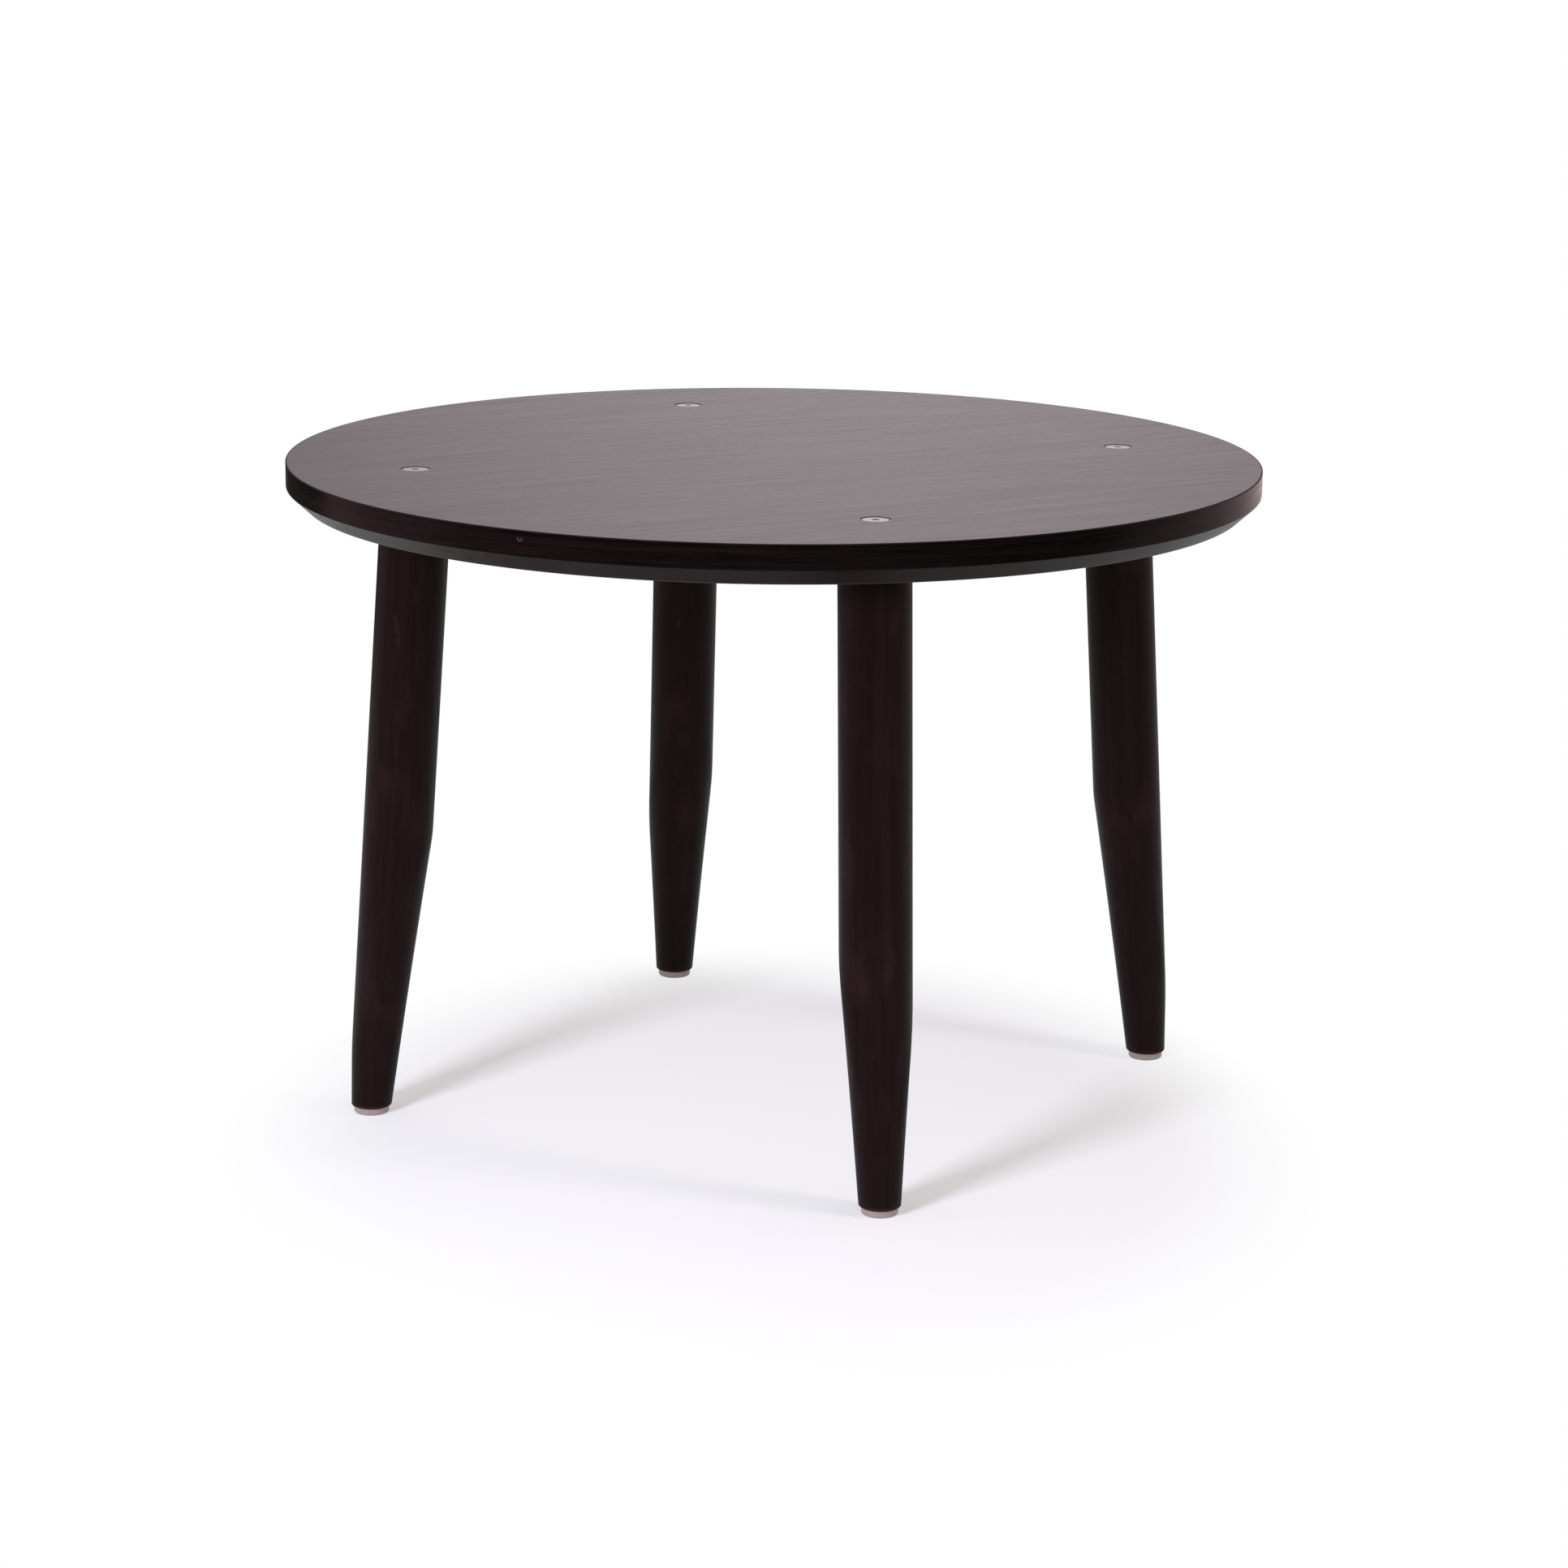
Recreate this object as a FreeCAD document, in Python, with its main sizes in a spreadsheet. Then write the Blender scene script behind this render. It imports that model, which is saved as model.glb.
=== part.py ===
import FreeCAD, Part
import os
import Sketcher

# A round cocktail table: a veneered disc with a bevelled wooden lipping, bolted to four splayed legs
# that are each turned on two axes, so that the taper leaves the outer side of the leg straight.
# Millimetres and degrees, +Z up. The origin is on the floor, below the centre of the top.

SIZES = {
    # The whole table
    "table_height": 411,
    "top_diameter": 610,
    # The top, with the upright part of its edge and the bevel below that
    "top_thickness": 25,
    "edge_height": 15,
    "bevel_inset": 11,
    "edge_ease": 0.4,
    "lipping_width": 18,
    "veneer_thickness": 0.6,
    # The legs. The inset is from the rim to the leg's centre, and the taper's length is on the inner side
    "first_leg_azimuth": 45,
    "leg_inset": 77,
    "leg_splay": 3.7,
    "leg_diameter": 43.6,
    "taper_length": 177,
    "foot_diameter": 25.4,
    "foot_offset": 7.4,
    "foot_ease": 1.5,
    # The bolt through the top
    "bolt_diameter": 6,
    "bolt_length": 45,
    "bolt_tip_ease": 0.8,
    "bolt_runout": 2,
    "bolt_hole_clearance": 0.5,
    "head_diameter": 17,
    "head_height": 2.5,
    "head_sink": 0.2,
    "head_ease": 0.5,
    "head_clearance": 0.4,
    "socket_across_flats": 4,
    "socket_depth": 2.2,
    # The barbed insert in the leg's head
    "insert_diameter": 12,
    "insert_length": 25,
    "insert_sink": 1,
    "barb_depth": 0.7,
    "thread_clearance": 0.05,
    # The dowel beside the bolt, with the wood left between them
    "dowel_diameter": 8,
    "dowel_length": 30,
    "dowel_in_top": 12,
    "dowel_wall": 2,
    "dowel_ease": 0.8,
    "dowel_end_room": 0.5,
    "glue_clearance": 0.05,
    # The glide under the foot, set in from the foot's side, and its nail
    "glide_inset": 1.7,
    "glide_height": 4.5,
    "glide_ease": 1.2,
    "nail_diameter": 2.5,
    "nail_length": 20,
    "nail_point": 3,
    "nail_head_diameter": 6.5,
    "nail_head_height": 1,
    "nail_head_sink": 1.2,
    "nail_clearance": 0.05,
}

CORNERS = ("back_right", "back_left", "front_left", "front_right")
TURN = 360 / len(CORNERS)
INSERT_BARBS = 5
SOCKET_SIDES = 6

# Heights above the floor
TOP = "Size.table_height"
UNDERSIDE = "(Size.table_height - Size.top_thickness)"
FACE_GLUE_LINE = "(Size.table_height - Size.veneer_thickness)"
BACKING_GLUE_LINE = f"({UNDERSIDE} + Size.veneer_thickness)"
BEVEL_TOP = "(Size.table_height - Size.edge_height)"
HEAD_FACE = "(Size.table_height - Size.head_sink)"
HEAD_SEAT = f"({HEAD_FACE} - Size.head_height)"
BOLT_TIP = f"({HEAD_SEAT} - Size.bolt_length)"
INSERT_TOP = f"({UNDERSIDE} - Size.insert_sink)"
DOWEL_TOP = f"({UNDERSIDE} + Size.dowel_in_top)"
FOOT = "Size.glide_height"
NAIL_SEAT = "(Size.nail_head_sink + Size.nail_head_height)"
NAIL_TIP = f"({NAIL_SEAT} + Size.nail_length)"

# Radii from the table's axis
RIM = "(Size.top_diameter / 2)"
CORE_RIM = f"({RIM} - Size.lipping_width)"
BEVEL_END = f"({RIM} - Size.bevel_inset)"
BEVEL_RUN = f"(Size.bevel_inset / ({BEVEL_TOP} - {UNDERSIDE}))"
BACKING_RIM = f"({BEVEL_END} + Size.veneer_thickness * {BEVEL_RUN})"
LEG_CIRCLE = f"({RIM} - Size.leg_inset)"
DOWEL_CIRCLE = f"({LEG_CIRCLE} - Size.insert_diameter / 2 - Size.dowel_wall - Size.dowel_diameter / 2)"
LEG_RUN = f"({UNDERSIDE} - {FOOT})"
FOOT_CIRCLE = f"({LEG_CIRCLE} + {LEG_RUN} * tan(Size.leg_splay) + Size.foot_offset)"

# Holes
HEAD_HOLE = "(Size.head_diameter + 2 * Size.head_clearance)"
BOLT_HOLE = "(Size.bolt_diameter + 2 * Size.bolt_hole_clearance)"
DOWEL_HOLE = "(Size.dowel_diameter + 2 * Size.glue_clearance)"
DOWEL_HOLE_IN_LEG = "(Size.dowel_length - Size.dowel_in_top + Size.dowel_end_room)"
INSERT_HOLE = "(Size.insert_diameter + 2 * Size.glue_clearance)"
INSERT_BORE = "(Size.bolt_diameter + 2 * Size.thread_clearance)"
INSERT_DEPTH = "(Size.insert_sink + Size.insert_length)"
BOLT_RUNOUT_DEPTH = f"(max({UNDERSIDE} - {BOLT_TIP}; {INSERT_DEPTH}) + Size.bolt_runout)"
NAIL_HOLE = "(Size.nail_diameter + 2 * Size.nail_clearance)"
NAIL_HEAD_HOLE = "(Size.nail_head_diameter + 2 * Size.nail_clearance)"

# The leg's taper. Past both its ends it runs on by the allowance that the slanted cuts take off
CUT_ALLOWANCE = "(Size.leg_diameter * tan(Size.leg_splay))"
TAPER_TILT = f"atan(({FOOT_CIRCLE} - {LEG_CIRCLE}) / {LEG_RUN})"
TAPER_TOP_RADIUS = f"(Size.leg_diameter / 2 + Size.foot_offset * (1 - Size.taper_length / {LEG_RUN}))"
TAPER_SLOPE = f"(({TAPER_TOP_RADIUS} - Size.foot_diameter / 2) / Size.taper_length)"

doc = FreeCAD.newDocument("CocktailTable")
sheet = doc.addObject("Spreadsheet::Sheet", "Size")
for row, (alias, value) in enumerate(SIZES.items(), start=1):
    sheet.set(f"A{row}", alias)
    sheet.set(f"B{row}", str(value))
    sheet.setAlias(f"B{row}", alias)
doc.recompute()


def number(formula):
    return float(sheet.evalExpression(formula))


def azimuth(corner):
    return f"(Size.first_leg_azimuth + {CORNERS.index(corner) * TURN})"


# Sketches


def sketch_on(body, name, role):
    sketch = body.newObject("Sketcher::SketchObject", name)
    plane = next(feature for feature in body.Origin.OriginFeatures if feature.Role == role)
    sketch.AttachmentSupport = (plane, "")
    sketch.MapMode = "FlatFace"
    return sketch


def level_sketch(body, name, height):
    sketch = sketch_on(body, name, "XY_Plane")
    sketch.setExpression("AttachmentOffset.Base.z", height)
    return sketch


# The sketcher's numbers for a side's two ends, a circle's centre and the sketch's own origin
START = 1
END = 2
CENTRE = 3
ORIGIN = (-1, 1)


def bind(sketch, kind, geometry, formula):
    index = sketch.addConstraint(Sketcher.Constraint(kind, *geometry, number(formula)))
    sketch.setExpression(f"Constraints[{index}]", formula)


def bind_point(sketch, geometry, point, across, up):
    bind(sketch, "DistanceX", (*ORIGIN, geometry, point), across)
    bind(sketch, "DistanceY", (*ORIGIN, geometry, point), up)


def circle(sketch, across, up, diameter):
    centre = FreeCAD.Vector(number(across), number(up), 0)
    shape = Part.Circle(centre, FreeCAD.Vector(0, 0, 1), number(diameter) / 2)
    index = sketch.addGeometry(shape, False)
    bind_point(sketch, index, CENTRE, across, up)
    bind(sketch, "Diameter", (index,), diameter)


def outline(sketch, corners):
    """A closed outline of straight sides through corners, which are pairs of formulas."""
    points = [FreeCAD.Vector(number(across), number(up), 0) for across, up in corners]
    for start, end in zip(points, points[1:] + points[:1]):
        sketch.addGeometry(Part.LineSegment(start, end), False)
    for side, (across, up) in enumerate(corners):
        following = (side + 1) % len(corners)
        sketch.addConstraint(Sketcher.Constraint("Coincident", side, END, following, START))
        bind_point(sketch, side, START, across, up)


# Features


def body_called(name):
    return doc.addObject("PartDesign::Body", name)


def revolved(body, kind, sketch):
    feature = body.newObject(f"PartDesign::{kind}", f"{sketch.Name}{kind}")
    feature.Profile = sketch
    feature.ReferenceAxis = (sketch, ["V_Axis"])
    feature.Angle = 360
    doc.recompute()
    return feature


def turned(name, profile):
    """A body turned about its own Z axis. profile is a list of (radius, height) formulas."""
    body = body_called(name)
    sketch = sketch_on(body, "Profile", "XZ_Plane")
    outline(sketch, profile)
    revolved(body, "Revolution", sketch)
    return body


def cut(body, sketch, depth, upwards=False):
    before = body.Shape.Volume
    pocket = body.newObject("PartDesign::Pocket", f"{sketch.Name}Cut")
    pocket.Profile = sketch
    pocket.Reversed = upwards
    pocket.setExpression("Length", depth)
    doc.recompute()
    if not body.Shape.Volume < before:
        raise ValueError(f"{body.Label}: {pocket.Name} removes nothing")


def ease_level_edges(body, height, radius):
    """Round the edges that lie flat at a height above the floor."""
    level = number(height)
    base = body.Tip
    names = []
    for index, edge in enumerate(base.Shape.Edges, start=1):
        box = edge.BoundBox
        if abs(box.ZMin - level) < 1e-4 and abs(box.ZMax - level) < 1e-4:
            names.append(f"Edge{index}")
    fillet = body.newObject("PartDesign::Fillet", "EasedRim")
    fillet.Base = (base, names)
    fillet.setExpression("Radius", radius)
    doc.recompute()


def holes_over_legs(body, name, height, ring, diameter):
    """A sketch with one circle over each leg, on a ring about the table's axis."""
    sketch = level_sketch(body, name, height)
    for corner in CORNERS:
        angle = azimuth(corner)
        circle(sketch, f"{ring} * cos({angle})", f"{ring} * sin({angle})", diameter)
    return sketch


def place(body, ring, corner, height):
    angle = azimuth(corner)
    body.setExpression("Placement.Base.x", f"{ring} * cos({angle})")
    body.setExpression("Placement.Base.y", f"{ring} * sin({angle})")
    body.setExpression("Placement.Base.z", height)
    body.setExpression("Placement.Rotation.Angle", angle)


# The top


def top_core():
    profile = [
        ("0", BACKING_GLUE_LINE),
        (CORE_RIM, BACKING_GLUE_LINE),
        (CORE_RIM, FACE_GLUE_LINE),
        ("0", FACE_GLUE_LINE),
    ]
    body = turned("top_core", profile)
    seats = holes_over_legs(body, "HeadSeats", TOP, LEG_CIRCLE, HEAD_HOLE)
    cut(body, seats, f"{TOP} - {HEAD_SEAT}")
    bolts = holes_over_legs(body, "BoltHoles", TOP, LEG_CIRCLE, BOLT_HOLE)
    cut(body, bolts, "Size.top_thickness")
    dowels = holes_over_legs(body, "DowelHoles", UNDERSIDE, DOWEL_CIRCLE, DOWEL_HOLE)
    cut(body, dowels, "Size.dowel_in_top + Size.dowel_end_room", upwards=True)
    return body


def edge_lipping():
    profile = [
        (CORE_RIM, BACKING_GLUE_LINE),
        (BACKING_RIM, BACKING_GLUE_LINE),
        (RIM, BEVEL_TOP),
        (RIM, FACE_GLUE_LINE),
        (CORE_RIM, FACE_GLUE_LINE),
    ]
    return turned("edge_lipping", profile)


def face_veneer():
    profile = [("0", FACE_GLUE_LINE), (RIM, FACE_GLUE_LINE), (RIM, TOP), ("0", TOP)]
    body = turned("face_veneer", profile)
    ease_level_edges(body, TOP, "Size.edge_ease")
    heads = holes_over_legs(body, "HeadHoles", TOP, LEG_CIRCLE, HEAD_HOLE)
    cut(body, heads, "Size.veneer_thickness")
    return body


def backing_veneer():
    profile = [
        ("0", UNDERSIDE),
        (BEVEL_END, UNDERSIDE),
        (BACKING_RIM, BACKING_GLUE_LINE),
        ("0", BACKING_GLUE_LINE),
    ]
    body = turned("backing_veneer", profile)
    bolts = holes_over_legs(body, "BoltHoles", BACKING_GLUE_LINE, LEG_CIRCLE, BOLT_HOLE)
    cut(body, bolts, "Size.veneer_thickness")
    dowels = holes_over_legs(body, "DowelHoles", BACKING_GLUE_LINE, DOWEL_CIRCLE, DOWEL_HOLE)
    cut(body, dowels, "Size.veneer_thickness")
    return body


# The legs. Each is drawn in the plane of +X and +Z, leaning outwards along +X, and then swung to its corner


def lean(sketch, ring, height, angle):
    """Set a sketch's upright axis on a point of the leg's plane, with its lower end tilted outwards."""
    sketch.setExpression("AttachmentOffset.Base.x", ring)
    sketch.setExpression("AttachmentOffset.Base.y", height)
    sketch.setExpression("AttachmentOffset.Rotation.Angle", angle)


def leg_blank(body):
    sketch = sketch_on(body, "Blank", "XZ_Plane")
    lean(sketch, LEG_CIRCLE, UNDERSIDE, "Size.leg_splay")
    lower_end = f"-({LEG_RUN} / cos(Size.leg_splay) + {CUT_ALLOWANCE})"
    profile = [
        ("0", lower_end),
        ("Size.leg_diameter / 2", lower_end),
        ("Size.leg_diameter / 2", CUT_ALLOWANCE),
        ("0", CUT_ALLOWANCE),
    ]
    outline(sketch, profile)
    revolved(body, "Revolution", sketch)


def leg_taper(body):
    """The second turning, about a line from the centre of the leg's head to the offset centre of the foot."""
    sketch = sketch_on(body, "Taper", "XZ_Plane")
    lean(sketch, FOOT_CIRCLE, FOOT, TAPER_TILT)
    lower_end = f"-{CUT_ALLOWANCE}"
    upper_end = f"(Size.taper_length + {CUT_ALLOWANCE})"
    lower_radius = f"(Size.foot_diameter / 2 - {TAPER_SLOPE} * {CUT_ALLOWANCE})"
    upper_radius = f"({TAPER_TOP_RADIUS} + {TAPER_SLOPE} * {CUT_ALLOWANCE})"
    outer_radius = "(Size.leg_diameter + Size.foot_offset)"
    profile = [
        (lower_radius, lower_end),
        (upper_radius, upper_end),
        (outer_radius, upper_end),
        (outer_radius, lower_end),
    ]
    outline(sketch, profile)
    revolved(body, "Groove", sketch)


def trim_leg_ends(body):
    width = "(2 * Size.leg_diameter)"
    head = level_sketch(body, "Head", UNDERSIDE)
    circle(head, LEG_CIRCLE, "0", width)
    cut(body, head, f"2 * {CUT_ALLOWANCE}", upwards=True)
    foot = level_sketch(body, "Foot", FOOT)
    circle(foot, FOOT_CIRCLE, "0", width)
    cut(body, foot, f"2 * {CUT_ALLOWANCE}")
    ease_level_edges(body, FOOT, "Size.foot_ease")


def drill_leg(body):
    holes = (
        ("InsertHole", LEG_CIRCLE, INSERT_HOLE, INSERT_DEPTH),
        ("BoltRunout", LEG_CIRCLE, BOLT_HOLE, BOLT_RUNOUT_DEPTH),
        ("DowelHole", DOWEL_CIRCLE, DOWEL_HOLE, DOWEL_HOLE_IN_LEG),
    )
    for name, ring, diameter, depth in holes:
        sketch = level_sketch(body, name, UNDERSIDE)
        circle(sketch, ring, "0", diameter)
        cut(body, sketch, depth)
    nail = level_sketch(body, "NailHole", FOOT)
    circle(nail, FOOT_CIRCLE, "0", NAIL_HOLE)
    cut(body, nail, f"{NAIL_TIP} - {FOOT}", upwards=True)


def leg(corner):
    body = body_called(f"leg_{corner}")
    leg_blank(body)
    leg_taper(body)
    trim_leg_ends(body)
    drill_leg(body)
    body.setExpression("Placement.Rotation.Angle", azimuth(corner))
    return body


# What holds each leg to the top


def leg_bolt(corner):
    head = "Size.head_diameter / 2"
    shank = "Size.bolt_diameter / 2"
    tip = "-(Size.head_height + Size.bolt_length)"
    profile = [
        ("0", "0"),
        (f"{head} - Size.head_ease", "0"),
        (head, "-Size.head_ease"),
        (head, "-Size.head_height"),
        (shank, "-Size.head_height"),
        (shank, f"{tip} + Size.bolt_tip_ease"),
        (f"{shank} - Size.bolt_tip_ease", tip),
        ("0", tip),
    ]
    body = turned(f"leg_bolt_{corner}", profile)
    socket = level_sketch(body, "Socket", "0")
    reach = f"Size.socket_across_flats / (2 * cos(180 / {SOCKET_SIDES}))"
    angles = [side * 360 / SOCKET_SIDES for side in range(SOCKET_SIDES)]
    outline(socket, [(f"{reach} * cos({angle})", f"{reach} * sin({angle})") for angle in angles])
    cut(body, socket, "Size.socket_depth")
    place(body, LEG_CIRCLE, corner, HEAD_FACE)
    return body


def leg_insert(corner):
    bore = f"{INSERT_BORE} / 2"
    crest = "Size.insert_diameter / 2"
    pitch = f"Size.insert_length / {INSERT_BARBS}"
    profile = [(bore, "-Size.insert_length"), (bore, "0")]
    for barb in range(INSERT_BARBS):
        profile.append((crest, f"-{barb} * {pitch}"))
        profile.append((f"{crest} - Size.barb_depth", f"-{barb + 1} * {pitch}"))
    body = turned(f"leg_insert_{corner}", profile)
    place(body, LEG_CIRCLE, corner, INSERT_TOP)
    return body


def leg_dowel(corner):
    radius = "Size.dowel_diameter / 2"
    profile = [
        ("0", "-Size.dowel_length"),
        (f"{radius} - Size.dowel_ease", "-Size.dowel_length"),
        (radius, "Size.dowel_ease - Size.dowel_length"),
        (radius, "-Size.dowel_ease"),
        (f"{radius} - Size.dowel_ease", "0"),
        ("0", "0"),
    ]
    body = turned(f"leg_dowel_{corner}", profile)
    place(body, DOWEL_CIRCLE, corner, DOWEL_TOP)
    return body


# What is under each foot


def foot_glide(corner):
    rim = "(Size.foot_diameter / 2 - Size.glide_inset)"
    recess = f"{NAIL_HEAD_HOLE} / 2"
    hole = f"{NAIL_HOLE} / 2"
    profile = [
        (recess, "0"),
        (rim, "0"),
        (rim, "Size.glide_height"),
        (hole, "Size.glide_height"),
        (hole, NAIL_SEAT),
        (recess, NAIL_SEAT),
    ]
    body = turned(f"foot_glide_{corner}", profile)
    ease_level_edges(body, "0", "Size.glide_ease")
    place(body, FOOT_CIRCLE, corner, "0")
    return body


def glide_nail(corner):
    head = "Size.nail_head_diameter / 2"
    shank = "Size.nail_diameter / 2"
    profile = [
        ("0", "-Size.nail_head_height"),
        (head, "-Size.nail_head_height"),
        (head, "0"),
        (shank, "0"),
        (shank, "Size.nail_length - Size.nail_point"),
        ("0", "Size.nail_length"),
    ]
    body = turned(f"glide_nail_{corner}", profile)
    place(body, FOOT_CIRCLE, corner, NAIL_SEAT)
    return body


subparts = [top_core(), edge_lipping(), face_veneer(), backing_veneer()]
for make in (leg, leg_bolt, leg_insert, leg_dowel, foot_glide, glide_nail):
    for corner in CORNERS:
        subparts.append(make(corner))
doc.recompute()

for item in doc.Objects:
    if "Invalid" in item.State or "Error" in item.State:
        raise ValueError(f"{item.Label} failed: {item.State}")
for body in subparts:
    if body.Shape.isNull() or not body.Shape.isValid() or len(body.Shape.Solids) != 1:
        raise ValueError(f"{body.Label} is not one valid solid")

os.makedirs("parts", exist_ok=True)
for body in subparts:
    body.Shape.exportStep(f"parts/{body.Label}.step")
    box = body.Shape.BoundBox
    print(f"{body.Label}: {body.Shape.Volume / 1000:.2f} cm3, z {box.ZMin:.2f} to {box.ZMax:.2f}")
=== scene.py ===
import math

import bmesh
import bpy
from mathutils import Matrix, Vector


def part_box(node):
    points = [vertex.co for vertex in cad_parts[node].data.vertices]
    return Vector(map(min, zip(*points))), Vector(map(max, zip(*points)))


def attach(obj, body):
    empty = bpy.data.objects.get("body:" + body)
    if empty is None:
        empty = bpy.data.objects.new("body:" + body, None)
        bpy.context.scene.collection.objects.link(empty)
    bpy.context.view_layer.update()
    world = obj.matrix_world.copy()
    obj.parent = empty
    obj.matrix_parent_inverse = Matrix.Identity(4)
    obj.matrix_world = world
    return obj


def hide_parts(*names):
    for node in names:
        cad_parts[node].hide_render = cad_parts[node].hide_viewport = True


# A round cocktail table in dark stained wood, on a white studio floor.
# Metres and degrees, in the frame's own axes: +Z up, the floor at 0.

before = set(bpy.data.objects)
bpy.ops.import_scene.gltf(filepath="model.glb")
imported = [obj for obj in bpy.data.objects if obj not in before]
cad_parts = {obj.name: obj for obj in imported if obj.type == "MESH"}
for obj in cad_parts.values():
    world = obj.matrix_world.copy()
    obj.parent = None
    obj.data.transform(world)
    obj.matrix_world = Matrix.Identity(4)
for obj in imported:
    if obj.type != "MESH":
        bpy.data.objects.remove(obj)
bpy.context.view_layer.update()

CORNERS = ("back_right", "back_left", "front_left", "front_right")
MILLIMETRE = 0.001


# Places that the frame gives


class Span:
    """A node's box as the place, radius and heights of an upright round piece."""

    def __init__(self, node):
        low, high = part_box(node)
        self.axis = ((low + high) / 2).to_2d()
        self.azimuth = math.atan2(self.axis.y, self.axis.x)
        self.place = Matrix.Translation(self.axis.to_3d())
        self.radius = (high.x - low.x) / 2
        self.base = low.z
        self.top = high.z


FACE = Span("face_veneer")
BACKING = Span("backing_veneer")
CORE = Span("top_core")
BOLT = Span("leg_bolt_back_right")
INSERT = Span("leg_insert_back_right")
DOWEL = Span("leg_dowel_back_right")
GLIDE = Span("foot_glide_back_right")
NAIL = Span("glide_nail_back_right")

TOP = FACE.top
RIM = FACE.radius
UNDERSIDE = BACKING.base
FOOT = GLIDE.top
LEG_CIRCLE = BOLT.axis.length
DOWEL_CIRCLE = DOWEL.axis.length
FOOT_CIRCLE = GLIDE.axis.length
LEG_AZIMUTHS = {corner: Span(f"leg_bolt_{corner}").azimuth for corner in CORNERS}

# Sizes that the boxes don't give
EDGE_HEIGHT = 15 * MILLIMETRE
BEVEL_INSET = 11 * MILLIMETRE
EDGE_EASE = 0.4 * MILLIMETRE
BEVEL_EASE = 0.8 * MILLIMETRE
HEAD_HOLE_RADIUS = 8.9 * MILLIMETRE
BOLT_HOLE_RADIUS = 3.5 * MILLIMETRE
DOWEL_HOLE_RADIUS = 4.05 * MILLIMETRE
INSERT_HOLE_RADIUS = 6.05 * MILLIMETRE
RUNOUT_BELOW_INSERT = 2 * MILLIMETRE
DOWEL_END_ROOM = 0.5 * MILLIMETRE
NAIL_HOLE_RADIUS = 1.3 * MILLIMETRE
LEG_RADIUS = 21.8 * MILLIMETRE
LEG_SPLAY = math.radians(3.7)
FOOT_RADIUS = 12.7 * MILLIMETRE
FOOT_EASE = 1.5 * MILLIMETRE
TAPER_LENGTH = 177 * MILLIMETRE
TAPER_HOLLOW = 0.4 * MILLIMETRE
KINK_SOFTNESS = 0.5 * MILLIMETRE

RIM_SEGMENTS = 288
LEG_SEGMENTS = 72
SMALL_SEGMENTS = 48
HOLE_SEGMENTS = 32
# Edges that turn by more than this are shaded sharp
SHARP_ANGLE = 35


# Meshes


def loop(reach, height, count, centre=(0, 0)):
    """Points round an upright axis. reach is a radius, or a function that gives one for an angle."""
    points = []
    for step in range(count):
        angle = 2 * math.pi * step / count
        radius = reach(angle) if callable(reach) else reach
        points.append((centre[0] + radius * math.cos(angle), centre[1] + radius * math.sin(angle), height))
    return points


def ring(mesh, points):
    return [mesh.verts.new(point) for point in points]


def bridge(mesh, first, second):
    """Four-sided faces between two rings of as many points."""
    for index, corner in enumerate(first):
        following = (index + 1) % len(first)
        mesh.faces.new((corner, first[following], second[following], second[index]))


def skin(mesh, rings):
    for first, second in zip(rings, rings[1:]):
        bridge(mesh, first, second)


def flat_fill(mesh, rings):
    """A flat face bounded by the first ring, with the other rings as its holes."""
    edges = []
    for points in rings:
        for index, corner in enumerate(points):
            following = points[(index + 1) % len(points)]
            edges.append(mesh.edges.get((corner, following)) or mesh.edges.new((corner, following)))
    bmesh.ops.triangle_fill(mesh, use_beauty=True, use_dissolve=False, edges=edges)


def turned(profile, count, closed=False):
    """A solid round the Z axis. profile holds (reach, height), with reach as loop takes it.
    The solid ends in flat faces, or closes on itself."""
    mesh = bmesh.new()
    rings = [ring(mesh, loop(reach, height, count)) for reach, height in profile]
    skin(mesh, rings)
    if closed:
        bridge(mesh, rings[-1], rings[0])
    else:
        mesh.faces.new(rings[0])
        mesh.faces.new(rings[-1])
    return mesh


def drilled_disc(profile, holes):
    """A disc with the rim that profile gives, from its upper to its lower edge, and holes right through it.
    holes holds (centre, radius)."""
    mesh = bmesh.new()
    rim = [ring(mesh, loop(radius, height, RIM_SEGMENTS)) for radius, height in profile]
    skin(mesh, rim)
    upper, lower = [rim[0]], [rim[-1]]
    for centre, radius in holes:
        walls = [ring(mesh, loop(radius, height, HOLE_SEGMENTS, centre))
                 for height in (profile[0][1], profile[-1][1])]
        skin(mesh, walls)
        upper.append(walls[0])
        lower.append(walls[1])
    flat_fill(mesh, upper)
    flat_fill(mesh, lower)
    return mesh


def blind_hole(mesh, along, steps):
    """A stepped hole with its axis along X from the origin. steps holds (radius, height) from the mouth in.
    The ring at the mouth is returned."""
    rings = [ring(mesh, loop(radius, height, HOLE_SEGMENTS, (along, 0))) for radius, height in steps]
    skin(mesh, rings)
    mesh.faces.new(rings[-1])
    return rings[0]


ARC_STEPS = 5
# How far a guard point lies from its arc, as a share of the arc's radius
FLAT_GUARD = 0.4


def eased(corners):
    """An outline with its corners rounded. corners holds (radius, height, rounding).
    A guard point on each side of an arc keeps the flats beside it flat in the shading."""
    outline = []
    count = len(corners)
    for index, (across, up, rounding) in enumerate(corners):
        here = Vector((across, up))
        if not rounding:
            outline.append((across, up))
            continue
        before = (Vector(corners[index - 1][:2]) - here).normalized()
        after = (Vector(corners[(index + 1) % count][:2]) - here).normalized()
        half = before.angle(after) / 2
        tangent = rounding / math.tan(half)
        centre = here + (before + after).normalized() * rounding / math.sin(half)
        start = here + before * tangent - centre
        turn = start.angle_signed(here + after * tangent - centre)
        outline.append(tuple(here + before * (tangent + FLAT_GUARD * rounding)))
        for step in range(ARC_STEPS + 1):
            outline.append(tuple(centre + Matrix.Rotation(-turn * step / ARC_STEPS, 2) @ start))
        outline.append(tuple(here + after * (tangent + FLAT_GUARD * rounding)))
    return outline


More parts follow.
